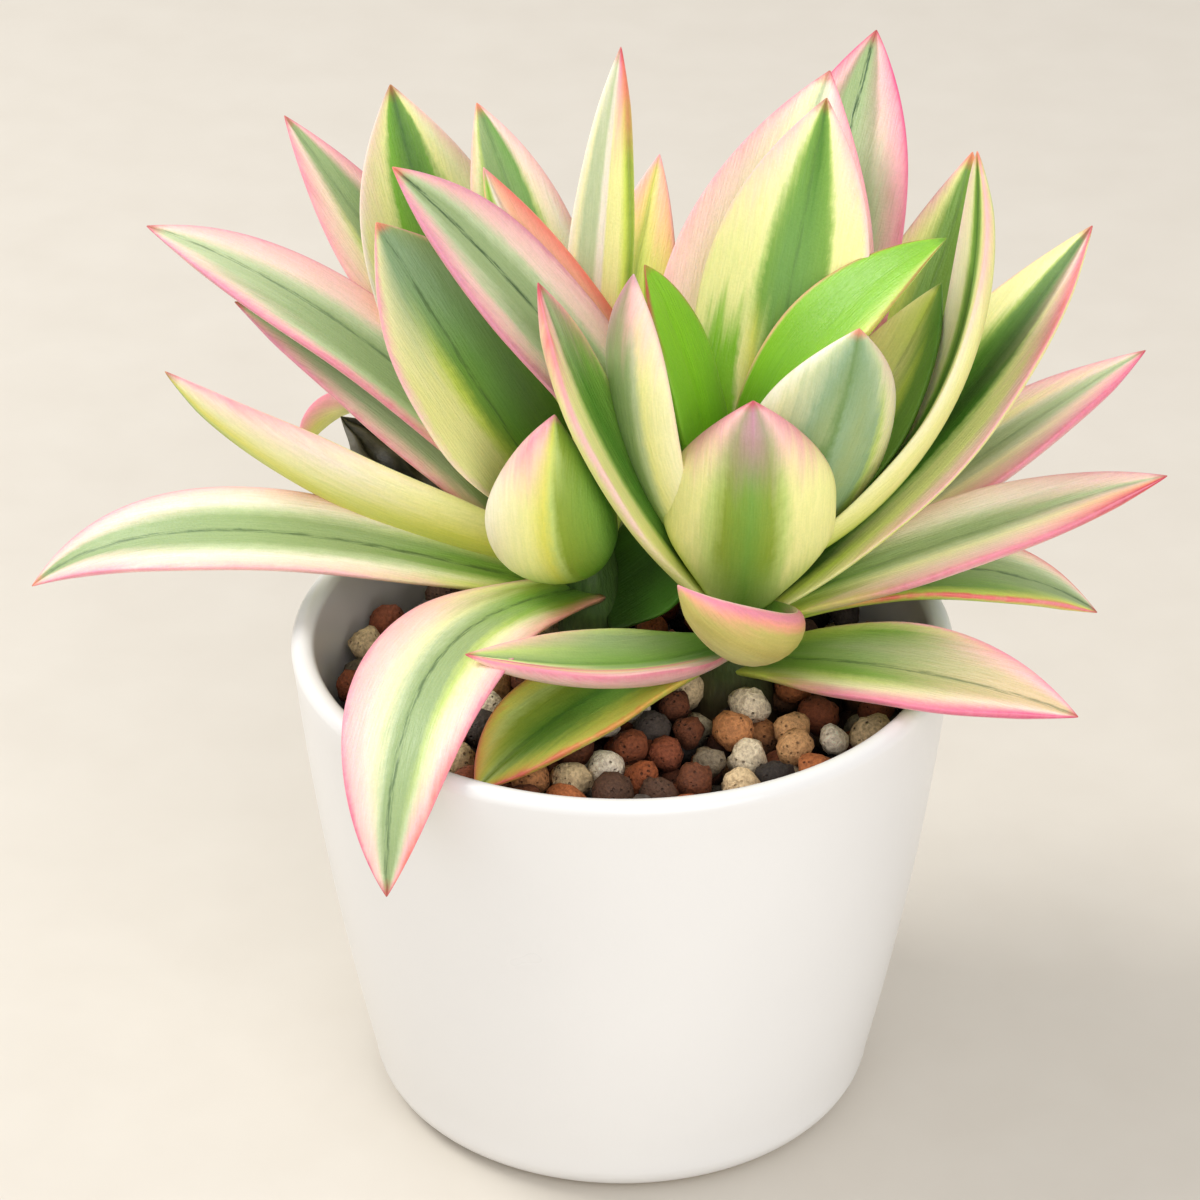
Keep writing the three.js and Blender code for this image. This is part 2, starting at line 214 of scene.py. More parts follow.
def pot_profile():
    """The wall's radius and height, from under the foot over the lip to the inner floor."""
    points = [(FOOT_RADIUS * share, 0.0) for share in (0.3, 0.7, 0.96)]
    for turn in np.linspace(0, math.pi / 2, 9):
        radius = FOOT_RADIUS + (side_radius(FOOT_ROUND) - FOOT_RADIUS) * math.sin(turn)
        points.append((radius, FOOT_ROUND * (1 - math.cos(turn))))
    lip = WALL / 2
    shoulder = POT_HEIGHT - lip
    points += [(side_radius(z), z) for z in np.linspace(FOOT_ROUND, shoulder, 19)[1:-1]]
    for turn in np.linspace(0, math.pi, 17):
        points.append((RIM_RADIUS - lip + lip * math.cos(turn), shoulder + lip * math.sin(turn)))
    inner_foot = FLOOR + INNER_ROUND
    points += [(side_radius(z) - WALL, z) for z in np.linspace(shoulder, inner_foot, 13)[1:]]
    floor_radius = side_radius(inner_foot) - WALL - INNER_ROUND
    for turn in np.linspace(0, math.pi / 2, 7)[1:]:
        points.append((floor_radius + INNER_ROUND * math.cos(turn),
                       inner_foot - INNER_ROUND * math.sin(turn)))
    return points + [(floor_radius * 0.4, FLOOR)]


def turned(profile, facets):
    """Rings of a profile of radius and height turned about the pot's axis."""
    turns = np.arange(facets) * 2 * math.pi / facets
    return np.array([
        np.column_stack([r * np.cos(turns), r * np.sin(turns), np.full(facets, z)]) * MM
        for r, z in profile
    ])


pot = solid("pot_body", *skin(turned(pot_profile(), facets=144)), glaze(), "glaze")
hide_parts("pot")

# --------------------------------------------------------------------- Potting mix
# The mix under the pellets, of bark, peat and pumice crumbs, filled in loose and damp.
# It is hidden, so it keeps the frame's own body, with its crumbs in the surface only.


def crumbly_mix():
    finish = Finish("damp_bark_and_peat")
    where = finish.place()
    crumbs = finish.node("ShaderNodeTexVoronoi", {}, {"Vector": where, "Scale": 420.0})
    dust = finish.noise(where, 160.0, 4.0, 0.6)
    stops = [(0.3, tint("2a1c13")), (0.55, tint("47321f")), (0.72, tint("6a4c31"))]
    colour = finish.ramp(dust, stops)
    return finish.done(colour, 0.88 + dust * 0.1, dust * 0.6 - crumbs * 0.4, 1.2 * MM)


for place in frame["nodes"]["potting_mix"].material_slots:
    place.material = crumbly_mix()

# --------------------------------------------------------------------------- Stems
# Two short stems, corky below and green above, both coloured darker than their bark alone as painted
# shade from the leaves over them. Each stands in the mix and carries one rosette, and is ringed by the
# scars that its fallen leaves have left.
LEFT_STEM = ((-3, 11, 48), (-6, 14, 92), 7.4, 3.2)  # foot, top, radius at foot and top
RIGHT_STEM = ((17, 2.5, 48), (17, 5, 94), 8.0, 3.2)
SCARS, SCAR_DEPTH = 9, 0.05


def stem_bark():
    finish = Finish("green_stem")
    where = finish.place()
    fibre = finish.node("ShaderNodeMapping", {}, {"Vector": where, "Scale": (1, 1, 0.22)})
    grain = finish.noise(fibre, 1100.0, 3.0, 0.6)
    blotch = finish.noise(where, 260.0, 2.0)
    # Both barks are partly their own dark colour and partly painted shade, darkened for the shade that
    # the rosettes cast on the stems.
    corky = finish.blend(grain, tint("33271a"), tint("594a2e"))
    green = finish.blend(grain, tint("27401a"), tint("567530"))
    age = finish.step(finish.level() + blotch * (8 * MM), 66 * MM, 82 * MM)
    return finish.done(finish.blend(age, corky, green), 0.5 + grain * 0.25, grain, 0.3 * MM)


def stem(name, node, foot, top, foot_radius, top_radius):
    foot, top = np.array(foot, float), np.array(top, float)
    sides, rows = 28, 47
    turns = np.arange(sides) * 2 * math.pi / sides
    rings = []
    for row in range(rows):
        share = row / (rows - 1)
        radius = foot_radius + (top_radius - foot_radius) * share
        scar = SCAR_DEPTH * abs(math.sin(share * math.pi * SCARS)) ** 6
        dome = min(1.0, 0.7 + share * 9, 0.5 + (1 - share) * 12)
        lumps = 1 + 0.04 * np.sin(3 * turns + 9 * share) + 0.02 * np.sin(5 * turns - 23 * share)
        spread = radius * dome * (0.96 + scar) * lumps
        centre = foot + (top - foot) * share + np.array([0, 0, 1.0]) * share
        rings.append(np.column_stack([centre[0] + spread * np.cos(turns),
                                      centre[1] + spread * np.sin(turns),
                                      np.full(sides, centre[2])]) * MM)
    piece = solid(name, *skin(np.array(rings)), GREEN_STEM, "stem")
    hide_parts(node)


GREEN_STEM = stem_bark()
stem("stem_left_ringed", "stem_left", *LEFT_STEM)
stem("stem_right_ringed", "stem_right", *RIGHT_STEM)

# ------------------------------------------------------------- Pellet top dressing
# Fired clay and pumice pellets of 5 to 7.5 mm, poured over the mix in about three layers
# and levelled a little below the rim. Their colours are mixed at random.
BED_TOP, BED_CROWN, BED_RADIUS = 70.6, 0.5, 41.8
LAYERS, LAYER_DEPTH, LAYER_JITTER, TOP_LAYER = 3, 3.7, 0.75, 3.3
PELLET_SPACING, SMALLEST, LARGEST, LUMPS = 5.35, 2.55, 3.6, 2.7
STEM_GAP = 1.9


def fired_clay():
    finish = Finish("clay_and_pumice_pellets")
    where = finish.place()
    tone = finish.read("tone")
    kinds = [
        (0.0, "84492e"), (0.10, "a25a36"), (0.19, "6f4029"), (0.28, "b87043"), (0.36, "915138"),
        (0.43, "c98c5c"), (0.50, "ecdfc4"), (0.58, "f7eedb"), (0.65, "dfc8a0"), (0.71, "d0a272"),
        (0.77, "4d4541"), (0.84, "332d2b"), (0.90, "5a4032"), (0.96, "8a7f6c"), (0.985, "77703a"),
    ]
    base = finish.ramp(tone, [(p, tint(c)) for p, c in kinds], "CONSTANT")
    grain = finish.noise(where, 1500.0, 3.0, 0.65)
    blotch = finish.noise(where, 420.0, 2.0)
    pits = finish.node("ShaderNodeTexVoronoi", {}, {"Vector": where, "Scale": 1150.0})
    # The pits sink into the bumps, and they are also painted dark brown as painted shade in the pores.
    pit_and_painted_shade = finish.step(pits, 0.1, 0.3, 1.0, 0.0) * finish.step(blotch, 0.45, 0.6)
    shade = finish.blend(finish.step(grain, 0.3, 0.7), (0.72, 0.67, 0.63), (1.3, 1.27, 1.22))
    colour = finish.blend(1.0, base, shade, "MULTIPLY")
    colour = finish.blend(pit_and_painted_shade * 0.6, colour, tint("3b2418"))
    # Painted shade: the pellets are painted darker towards the bottom of the bed, nearly black in the
    # lower layers, for the shade in the gaps between them.
    painted_gap_shade = finish.step(finish.level(), 62.5 * MM, 68.2 * MM, 0.9, 0.0)
    colour = finish.blend(painted_gap_shade, colour, tint("120c09"))
    bumps = grain * 0.5 + blotch * 0.6 - pit_and_painted_shade * 0.9
    return finish.done(colour, 0.6 + grain * 0.3, bumps, 0.8 * MM, Specular_IOR_Level=0.4)


class Maker:
    """A geometry node tree while its nodes are being laid out."""

    def __init__(self, name):
        self.tree = bpy.data.node_groups.new(name, "GeometryNodeTree")
        self.tree.interface.new_socket("Geometry", in_out="INPUT", socket_type="NodeSocketGeometry")
        self.tree.interface.new_socket("Geometry", in_out="OUTPUT", socket_type="NodeSocketGeometry")
        self.given = self.tree.nodes.new("NodeGroupInput")
        self.result = self.tree.nodes.new("NodeGroupOutput")
        self.sockets = {}

    def size(self, name, value, kind="NodeSocketFloat"):
        socket = self.tree.interface.new_socket(name, in_out="INPUT", socket_type=kind)
        self.sockets[socket.identifier] = value
        return self.given.outputs[name]

    def node(self, kind, settings=None, inputs=None, output=0):
        made = self.tree.nodes.new(kind)
        for key, value in (settings or {}).items():
            setattr(made, key, value)
        for key, value in (inputs or {}).items():
            for one in value if isinstance(value, list) else [value]:
                if isinstance(one, bpy.types.NodeSocket):
                    self.tree.links.new(one, made.inputs[key])
                else:
                    made.inputs[key].default_value = one
        return made.outputs[output]

    def vary(self, low, high, seed, kind="FLOAT"):
        keys = {"FLOAT": (2, 3, 1), "FLOAT_VECTOR": (0, 1, 0)}[kind]
        return self.node("FunctionNodeRandomValue", {"data_type": kind},
                         {keys[0]: low, keys[1]: high, "Seed": seed}, output=keys[2])

    def maths(self, operation, a, b=0.0):
        return self.node("ShaderNodeMath", {"operation": operation}, {0: a, 1: b})

    def vector(self, operation, a, b, output=0):
        return self.node("ShaderNodeVectorMath", {"operation": operation}, {0: a, 1: b}, output)


def pellet_maker(material):
    make = Maker("pellet_bed")
    radius = make.size("Bed radius", BED_RADIUS * MM)
    top = make.size("Bed top", BED_TOP * MM)
    crown = make.size("Crown", BED_CROWN * MM)
    spacing = make.size("Pellet spacing", PELLET_SPACING * MM)
    smallest = make.size("Smallest radius", SMALLEST * MM)
    largest = make.size("Largest radius", LARGEST * MM)
    seed = make.size("Seed", 11, "NodeSocketInt")
    layers = []
    for layer in range(LAYERS):
        disc = make.node("GeometryNodeMeshCircle", {"fill_type": "TRIANGLE_FAN"},
                         {"Vertices": 64, "Radius": radius})
        points = make.node(
            "GeometryNodeDistributePointsOnFaces",
            {"distribute_method": "POISSON"},
            {"Mesh": disc, "Distance Min": spacing, "Density Max": 400000.0,
             "Seed": make.maths("ADD", seed, layer)},
        )
        here = make.node("GeometryNodeInputPosition")
        out = make.maths("DIVIDE", make.vector("LENGTH", here, (0, 0, 0), 1), radius)
        drop = make.maths("MULTIPLY", make.maths("POWER", out, 2.0), crown)
        low = make.maths("ADD", drop, TOP_LAYER * MM + layer * LAYER_DEPTH * MM)
        jitter = make.vary(-LAYER_JITTER * MM, LAYER_JITTER * MM, seed=40 + layer)
        height = make.maths("ADD", make.maths("SUBTRACT", top, low), jitter)
        rise = make.node("ShaderNodeCombineXYZ", {}, {2: height})
        layers.append(make.node("GeometryNodeSetPosition", {}, {"Geometry": points, "Offset": rise}))
    bed = make.node("GeometryNodeJoinGeometry", {}, {0: layers})
    for foot, head, foot_radius, top_radius in (LEFT_STEM, RIGHT_STEM):
        share = (BED_TOP - foot[2]) / (head[2] - foot[2])
        clear = foot_radius + (top_radius - foot_radius) * share + STEM_GAP
        at = [(f + (h - f) * share) * MM for f, h in zip(foot, head)]
        flat = make.vector("MULTIPLY", make.node("GeometryNodeInputPosition"), (1, 1, 0))
        away = make.vector("DISTANCE", flat, (at[0], at[1], 0), 1)
        near = make.node("FunctionNodeCompare", {"operation": "LESS_THAN"},
                         {0: away, 1: clear * MM})
        bed = make.node("GeometryNodeDeleteGeometry", {"domain": "POINT"},
                        {"Geometry": bed, "Selection": near})
    ball = make.node("GeometryNodeMeshIcoSphere", {}, {"Radius": 1.0, "Subdivisions": 2})
    ball = make.node("GeometryNodeDualMesh", {}, {0: ball})
    squash = make.vary((0.88, 0.88, 0.84), (1.06, 1.06, 1.0), seed=5, kind="FLOAT_VECTOR")
    size = make.node("ShaderNodeVectorMath", {"operation": "SCALE"},
                     {0: squash, "Scale": make.vary(smallest, largest, seed=6)})
    turn = make.vary((0, 0, 0), (6.28, 6.28, 6.28), seed=7, kind="FLOAT_VECTOR")
    balls = make.node("GeometryNodeInstanceOnPoints", {},
                      {"Points": bed, "Instance": ball, "Rotation": turn, "Scale": size})
    balls = make.node("GeometryNodeStoreNamedAttribute", {"domain": "INSTANCE", "data_type": "FLOAT"},
                      {"Geometry": balls, "Name": "tone", "Value": make.vary(0.0, 1.0, seed=8)})
    balls = make.node("GeometryNodeRealizeInstances", {}, {"Geometry": balls})
    lumps = make.node("ShaderNodeTexNoise", {}, {"Scale": 330.0, "Detail": 1.0})
    push = make.maths("MULTIPLY", make.maths("SUBTRACT", lumps, 0.5), LUMPS * MM)
    shift = make.node("ShaderNodeVectorMath", {"operation": "SCALE"},
                      {0: make.node("GeometryNodeInputNormal"), "Scale": push})
    balls = make.node("GeometryNodeSetPosition", {}, {"Geometry": balls, "Offset": shift})
    balls = make.node("GeometryNodeSetShadeSmooth", {}, {"Geometry": balls})
    balls = make.node("GeometryNodeSetMaterial", {}, {"Geometry": balls, "Material": material})
    make.tree.links.new(balls, make.result.inputs[0])
    return make


def built(name, make, material):
    """The plain mesh that a node tree makes, as a piece of its own."""
    holder = bpy.data.objects.new(name, bpy.data.meshes.new(name + "_start"))
    bpy.context.scene.collection.objects.link(holder)
    modifier = holder.modifiers.new("maker", "NODES")
    modifier.node_group = make.tree
    for identifier, value in make.sockets.items():
        modifier[identifier] = value
    seen = holder.evaluated_get(bpy.context.evaluated_depsgraph_get())
    mesh = bpy.data.meshes.new_from_object(seen)
    holder.modifiers.remove(modifier)
    mesh.name = name
    holder.data = mesh
    mesh.materials.clear()
    mesh.materials.append(material)
    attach(holder, "root")
    return holder


clay = fired_clay()
pellets = built("pellets", pellet_maker(clay), clay)
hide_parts("pellet_top_dressing")

# ------------------------------------------------------------------- Right rosette
# Twenty-five fleshy leaves round the right stem, crown first. A leaf is thick in the
# middle and thin at its edges, curls up along them, and grows straight out of the stem.
# It is variegated in long bands of green, cream and pink.
PIGMENTS = {name: tint(code) for name, code in dict(
    forest="36571c", moss="4f8028", olive="8fa63c", leaf="7ca645", grass="7fb733", fresh="86c02a",
    spring="c3d57c", lime="cfdf62", sage="9aaf7b", deep_sage="739358", jade="74a04f", sea="93b088",
    pale_sage="c2cfa4", dusky="a99a80", straw="c9bd6c", butter="f0eea2", canary="e2e06a",
    cream="f3eebd", ivory="f5edda", shell="f7d6c8", blush="f2bbba", pink="e88fa2", orchid="de92a8",
    magenta="dc4f82", coral="ec7468", salmon="f2a38c", crimson="bb2b4a", peach="f8c09c",
    amber="eeae5c", mauve="c08a9b", tan="d8bf98", russet="a4503a", char="1d1c18", ash="5c584a",
).items()}
GREENS = {"forest", "moss", "olive", "leaf", "grass", "fresh", "sage", "deep_sage", "jade", "sea"}
PALES = {"butter", "canary", "cream", "ivory"}
# Bands are written from a leaf's -1 edge to its +1 edge, which is the left edge of a leaf
# that points to the back. A strip of spring green lies where a green meets a pale band.
ROOT = "-1 butter, -0.6 lime, -0.25 olive, 0.25 olive, 0.6 lime, 1 butter"
MIDDLE = "-1 blush, -0.8 ivory, -0.5 cream, -0.35 sage, 0.35 sage, 0.5 cream, 0.8 ivory, 1 blush"
TIP = "-1 pink, -0.7 blush, -0.4 shell, -0.2 pale_sage, 0.2 pale_sage, 0.4 shell, 0.7 blush, 1 pink"


def blade(stem, height, azimuth, rise, tip_rise, length, width, bend=1.0, swing=0.0, roll=0.0,
          twist=0.0, curl=25.0, widest=0.48, base=0.4, point=2.2, thickness=3.0, reach=2.5,
          wrinkle=0.0):
    """Rings of a leaf in metres, with each point's share along, place across and side.

    Lengths are in mm and angles in degrees. The leaf leaves its stem at a height and azimuth,
    climbs at rise and ends at tip_rise. Swing turns it sideways, roll and twist tip it over,
    and curl lifts its edges. Base, widest and point give its outline.
    """
    rows, across_top, across_under, steps = 54, 21, 17, 1000
    share = np.linspace(0, 1, rows)
    u = 0.998 * (1 - (1 - share) ** 1.3)
    walk = np.linspace(0, 1, steps + 1)
    mid = (walk[1:] + walk[:-1]) / 2

    def heading(u):
        turn = np.radians(azimuth + swing * u)
        slope = np.radians(rise + (tip_rise - rise) * u ** bend)
        ahead = np.column_stack([np.cos(turn) * np.cos(slope), np.sin(turn) * np.cos(slope),
                                 np.sin(slope)])
        return turn, ahead

    foot, top = np.array(stem[0], float), np.array(stem[1], float)
    start = foot + (top - foot) * (height - foot[2]) / (top[2] - foot[2])
    start += reach * np.array([math.cos(math.radians(azimuth)), math.sin(math.radians(azimuth)), 0])
    strides = heading(mid)[1] * length / steps
    midrib = np.vstack([start, start + np.cumsum(strides, axis=0)])
    centre = np.column_stack([np.interp(u, walk, midrib[:, i]) for i in range(3)])
    turn, ahead = heading(u)
    across = np.column_stack([-np.sin(turn), np.cos(turn), np.zeros(rows)])
    face = np.cross(ahead, across)
    angle = np.radians(roll + twist * u)[:, None]
    across, face = (across * np.cos(angle) + face * np.sin(angle),
                    face * np.cos(angle) - across * np.sin(angle))

    inner = base + (1 - base) * np.sin(math.pi / 2 * np.minimum(u / widest, 1)) ** 1.2
    outer = 1 - np.clip((u - widest) / (1 - widest), 0, 1) ** point
    broad = np.where(u < widest, inner, outer)
    half = width / 2 * broad * (1 + 0.06 * wrinkle * np.sin(u * 31))
    thinned_tip = 0.12
    taper = np.sqrt(np.minimum(1, (1 - u) / thinned_tip))
    thick = np.minimum(thickness * (0.35 + 0.65 * broad ** 0.8) * taper, 1.8 * half)

    top_places = np.sin(np.linspace(math.pi / 2, -math.pi / 2, across_top))
    under_places = np.sin(np.linspace(-math.pi / 2, math.pi / 2, across_under + 2))[1:-1]
    places = np.concatenate([top_places, under_places])
    under = np.concatenate([np.zeros(across_top), np.ones(across_under)])
    lens = (1 - np.minimum(1, np.abs(places)) ** 3) ** 0.6
    belly, back = 0.3, -0.7
    lift = thick[:, None] * (lens * np.where(under > 0, back, belly))[None, :]
    groove = np.exp(-((places / 0.1) ** 2)) * (1 - under)
    lift -= 0.1 * thick[:, None] * groove[None, :]
    ripple = np.sin(u * 17 + azimuth)[:, None] * (np.abs(places) ** 4)[None, :]
    lift += 0.16 * np.minimum(1, half / 4)[:, None] * ripple
    folds = np.sin(8 * places[None, :] + 2.4 * np.sin(u * 9)[:, None]) + 0.5 * np.sin(u * 43)[:, None]
    lift += wrinkle * np.minimum(1, half / 5)[:, None] * folds
    bow = math.radians(curl)
    turned_by = bow * places[None, :]
    x = half[:, None] * np.sin(turned_by) / bow - lift * np.sin(turned_by)
    z = half[:, None] * (1 - np.cos(turned_by)) / bow + lift * np.cos(turned_by)
    rings = centre[:, None] + across[:, None] * x[..., None] + face[:, None] * z[..., None]
    marks = {
        "along": np.repeat(u, len(places)),
        "place": np.tile(places, rows),
        "out": (half[:, None] * places[None, :]).ravel(),
        "under": np.tile(under, rows),
    }
    return rings * MM, marks


def leaf_skin(name, seed, length, root=ROOT, middle=MIDDLE, tip=TIP, under=None,
              under_root=None, under_tip=None, turn=(0.1, 0.42), flush=(0.6, 0.95),
              apex="crimson", rim="pink", streak=0.1, midline=0.3, gloss=0.42, body=0.18):
    """A leaf's variegated skin: bands that run along it, feathered where two colours meet."""
    finish = Finish(name + "_skin")
    along, place, out, below = (finish.read(key) for key in ("along", "place", "out", "under"))
    down = along * length
    fibre = finish.node("ShaderNodeCombineXYZ", {}, {0: out, 1: down * 0.07, 2: seed * 7.3})
    long_streaks = finish.noise(fibre, 0.75, 2.0, 0.6)
    fine_streaks = finish.noise(fibre, 3.4, 2.0, 0.6)
    veins = finish.node("ShaderNodeCombineXYZ", {}, {0: out * 0.5, 1: down * 0.5 - abs(out) * 0.35,
                                                     2: seed * 3.1})
    feather = finish.noise(veins, 1.3, 3.0, 0.65)
    edge = place + (long_streaks - 0.5) * (1.5 * streak) + (feather - 0.5) * streak
    lane = edge * 0.5 + 0.5

    def bands(text):
        stops = [(float(at), pigment) for at, pigment in (stop.split() for stop in text.split(", "))]
        laid = []
        for (at, pigment), after in zip(stops, stops[1:] + [None]):
            laid.append(((at + 1) / 2, PIGMENTS[pigment]))
            if after and (pigment in GREENS) != (after[1] in GREENS) and {pigment, after[1]} & PALES:
                laid.append(((at + after[0] + 2) / 4, PIGMENTS["spring"]))
        return finish.ramp(lane, laid)

    wander = (long_streaks - 0.5) * 0.22
    to_middle = finish.step(along + wander, *turn)
    to_tip = finish.step(along + wander, *flush)
    colour = finish.blend(to_middle, bands(root), bands(middle))
    colour = finish.blend(to_tip, colour, bands(tip))
    if under:
        back = finish.blend(to_tip, bands(under), bands(under_tip or under))
        if under_root:
            back = finish.blend(to_middle, bands(under_root), back)
        colour = finish.blend(finish.step(below, 0.3, 0.6), colour, back)
    grain = finish.noise(finish.place(), 2600.0, 2.0, 0.7)
    mottle = finish.step(fine_streaks * 0.6 + grain * 0.4, 0.36, 0.64)
    shade = finish.blend(mottle, (0.93, 0.95, 0.91), (1.04, 1.03, 1.04))
    colour = finish.blend(1.0, colour, shade, "MULTIPLY")
    near_midrib = finish.step(abs(out + (feather - 0.5) * 0.5), 0.1, 0.55, 1.0, 0.0)
    dark = near_midrib * finish.step(fine_streaks, 0.35, 0.6) * (1 - below)
    colour = finish.blend(dark * midline, colour, tint("3c5a33"))
    if rim:
        reach = finish.step(along + wander, 0.35, 1.0)
        line = finish.step(abs(place) + (feather - 0.5) * 0.05, 0.94, 1.0) * reach
        colour = finish.blend(line * 0.7, colour, PIGMENTS[rim])
    if apex:
        end = finish.step(along + (feather - 0.5) * 0.03, 0.955, 1.0)
        colour = finish.blend(end * 0.8, colour, PIGMENTS[apex])
    cells = finish.node("ShaderNodeTexVoronoi", {}, {"Vector": finish.place(), "Scale": 2300.0})
    bumps = fine_streaks * 0.5 + long_streaks * 0.4 - cells * 0.12
    roughness = gloss + (feather - 0.5) * 0.16
    return finish.done(colour, roughness, bumps, 0.22 * MM, Subsurface_Weight=body,
                       Subsurface_Radius=(1.0, 0.75, 0.35), Subsurface_Scale=2.5 * MM,
                       Specular_IOR_Level=0.4)


def grow(leaves, stem):
    """A piece for each leaf of a table of shapes and skins, in place of its node."""
    for number, (node, (shape, coat)) in enumerate(leaves.items()):
        rings, marks = blade(stem, **shape)
        look = leaf_skin(node, number + 1, shape["length"], **coat)
        piece = solid(node + "_blade", *skin(rings), look, SLOTS[node])
        for key, values in marks.items():
            ends = [values[0], values[-1]] if key in ("along", "under") else [0.0, 0.0]
            layer = piece.data.attributes.new(key, "FLOAT", "POINT")
            layer.data.foreach_set("value", np.concatenate([values, ends]).astype(np.float32))
        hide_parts(node)


